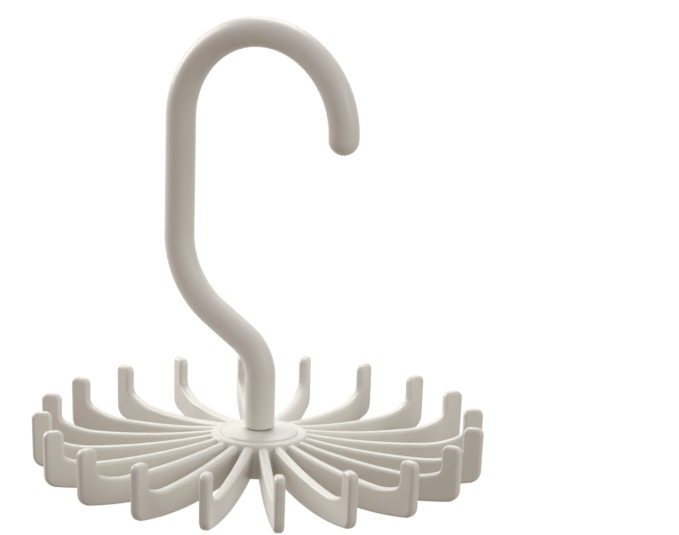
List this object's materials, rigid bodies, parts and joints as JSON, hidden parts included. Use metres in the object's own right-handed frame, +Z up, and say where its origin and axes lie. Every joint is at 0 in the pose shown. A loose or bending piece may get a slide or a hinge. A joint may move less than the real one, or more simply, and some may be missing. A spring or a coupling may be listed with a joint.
{
  "type": "tie hanger",
  "caption": "Hanging tie rack: a round-bar hook for a wardrobe rail, over a wheel of thin radial arms with upturned fingers that turns on the hook's pivot.",
  "frame": {"origin": "rail seat: the point of the crown's inner side straight above the wheel's hub", "axes": "+Z up along the wheel's turning axis; +Y along the rail; the hook lies in the XZ plane with its tip towards +X and its upper stem towards -X"},
  "size_m": [0.1402, 0.1402, 0.1421],
  "materials": {
    "hook_plastic": "smooth moulded, satin gloss",
    "wheel_plastic": "smooth moulded, satin gloss",
    "cap_plastic": "smooth moulded, satin gloss",
    "zinc_steel": "bright zinc plate"
  },
  "bodies": {
    "hook_body": {"hook": "hook_plastic", "washer": "zinc_steel", "retaining_screw": "zinc_steel"},
    "wheel_body": {"arm_wheel": "wheel_plastic", "hub_cap": "cap_plastic"}
  },
  "joints": [
    {"name": "wheel_spin", "type": "hinge", "parent": "hook_body", "child": "wheel_body", "pos_m": [0, 0, -0.11998], "axis": [0, 0, 1], "continuous": true}
  ]
}
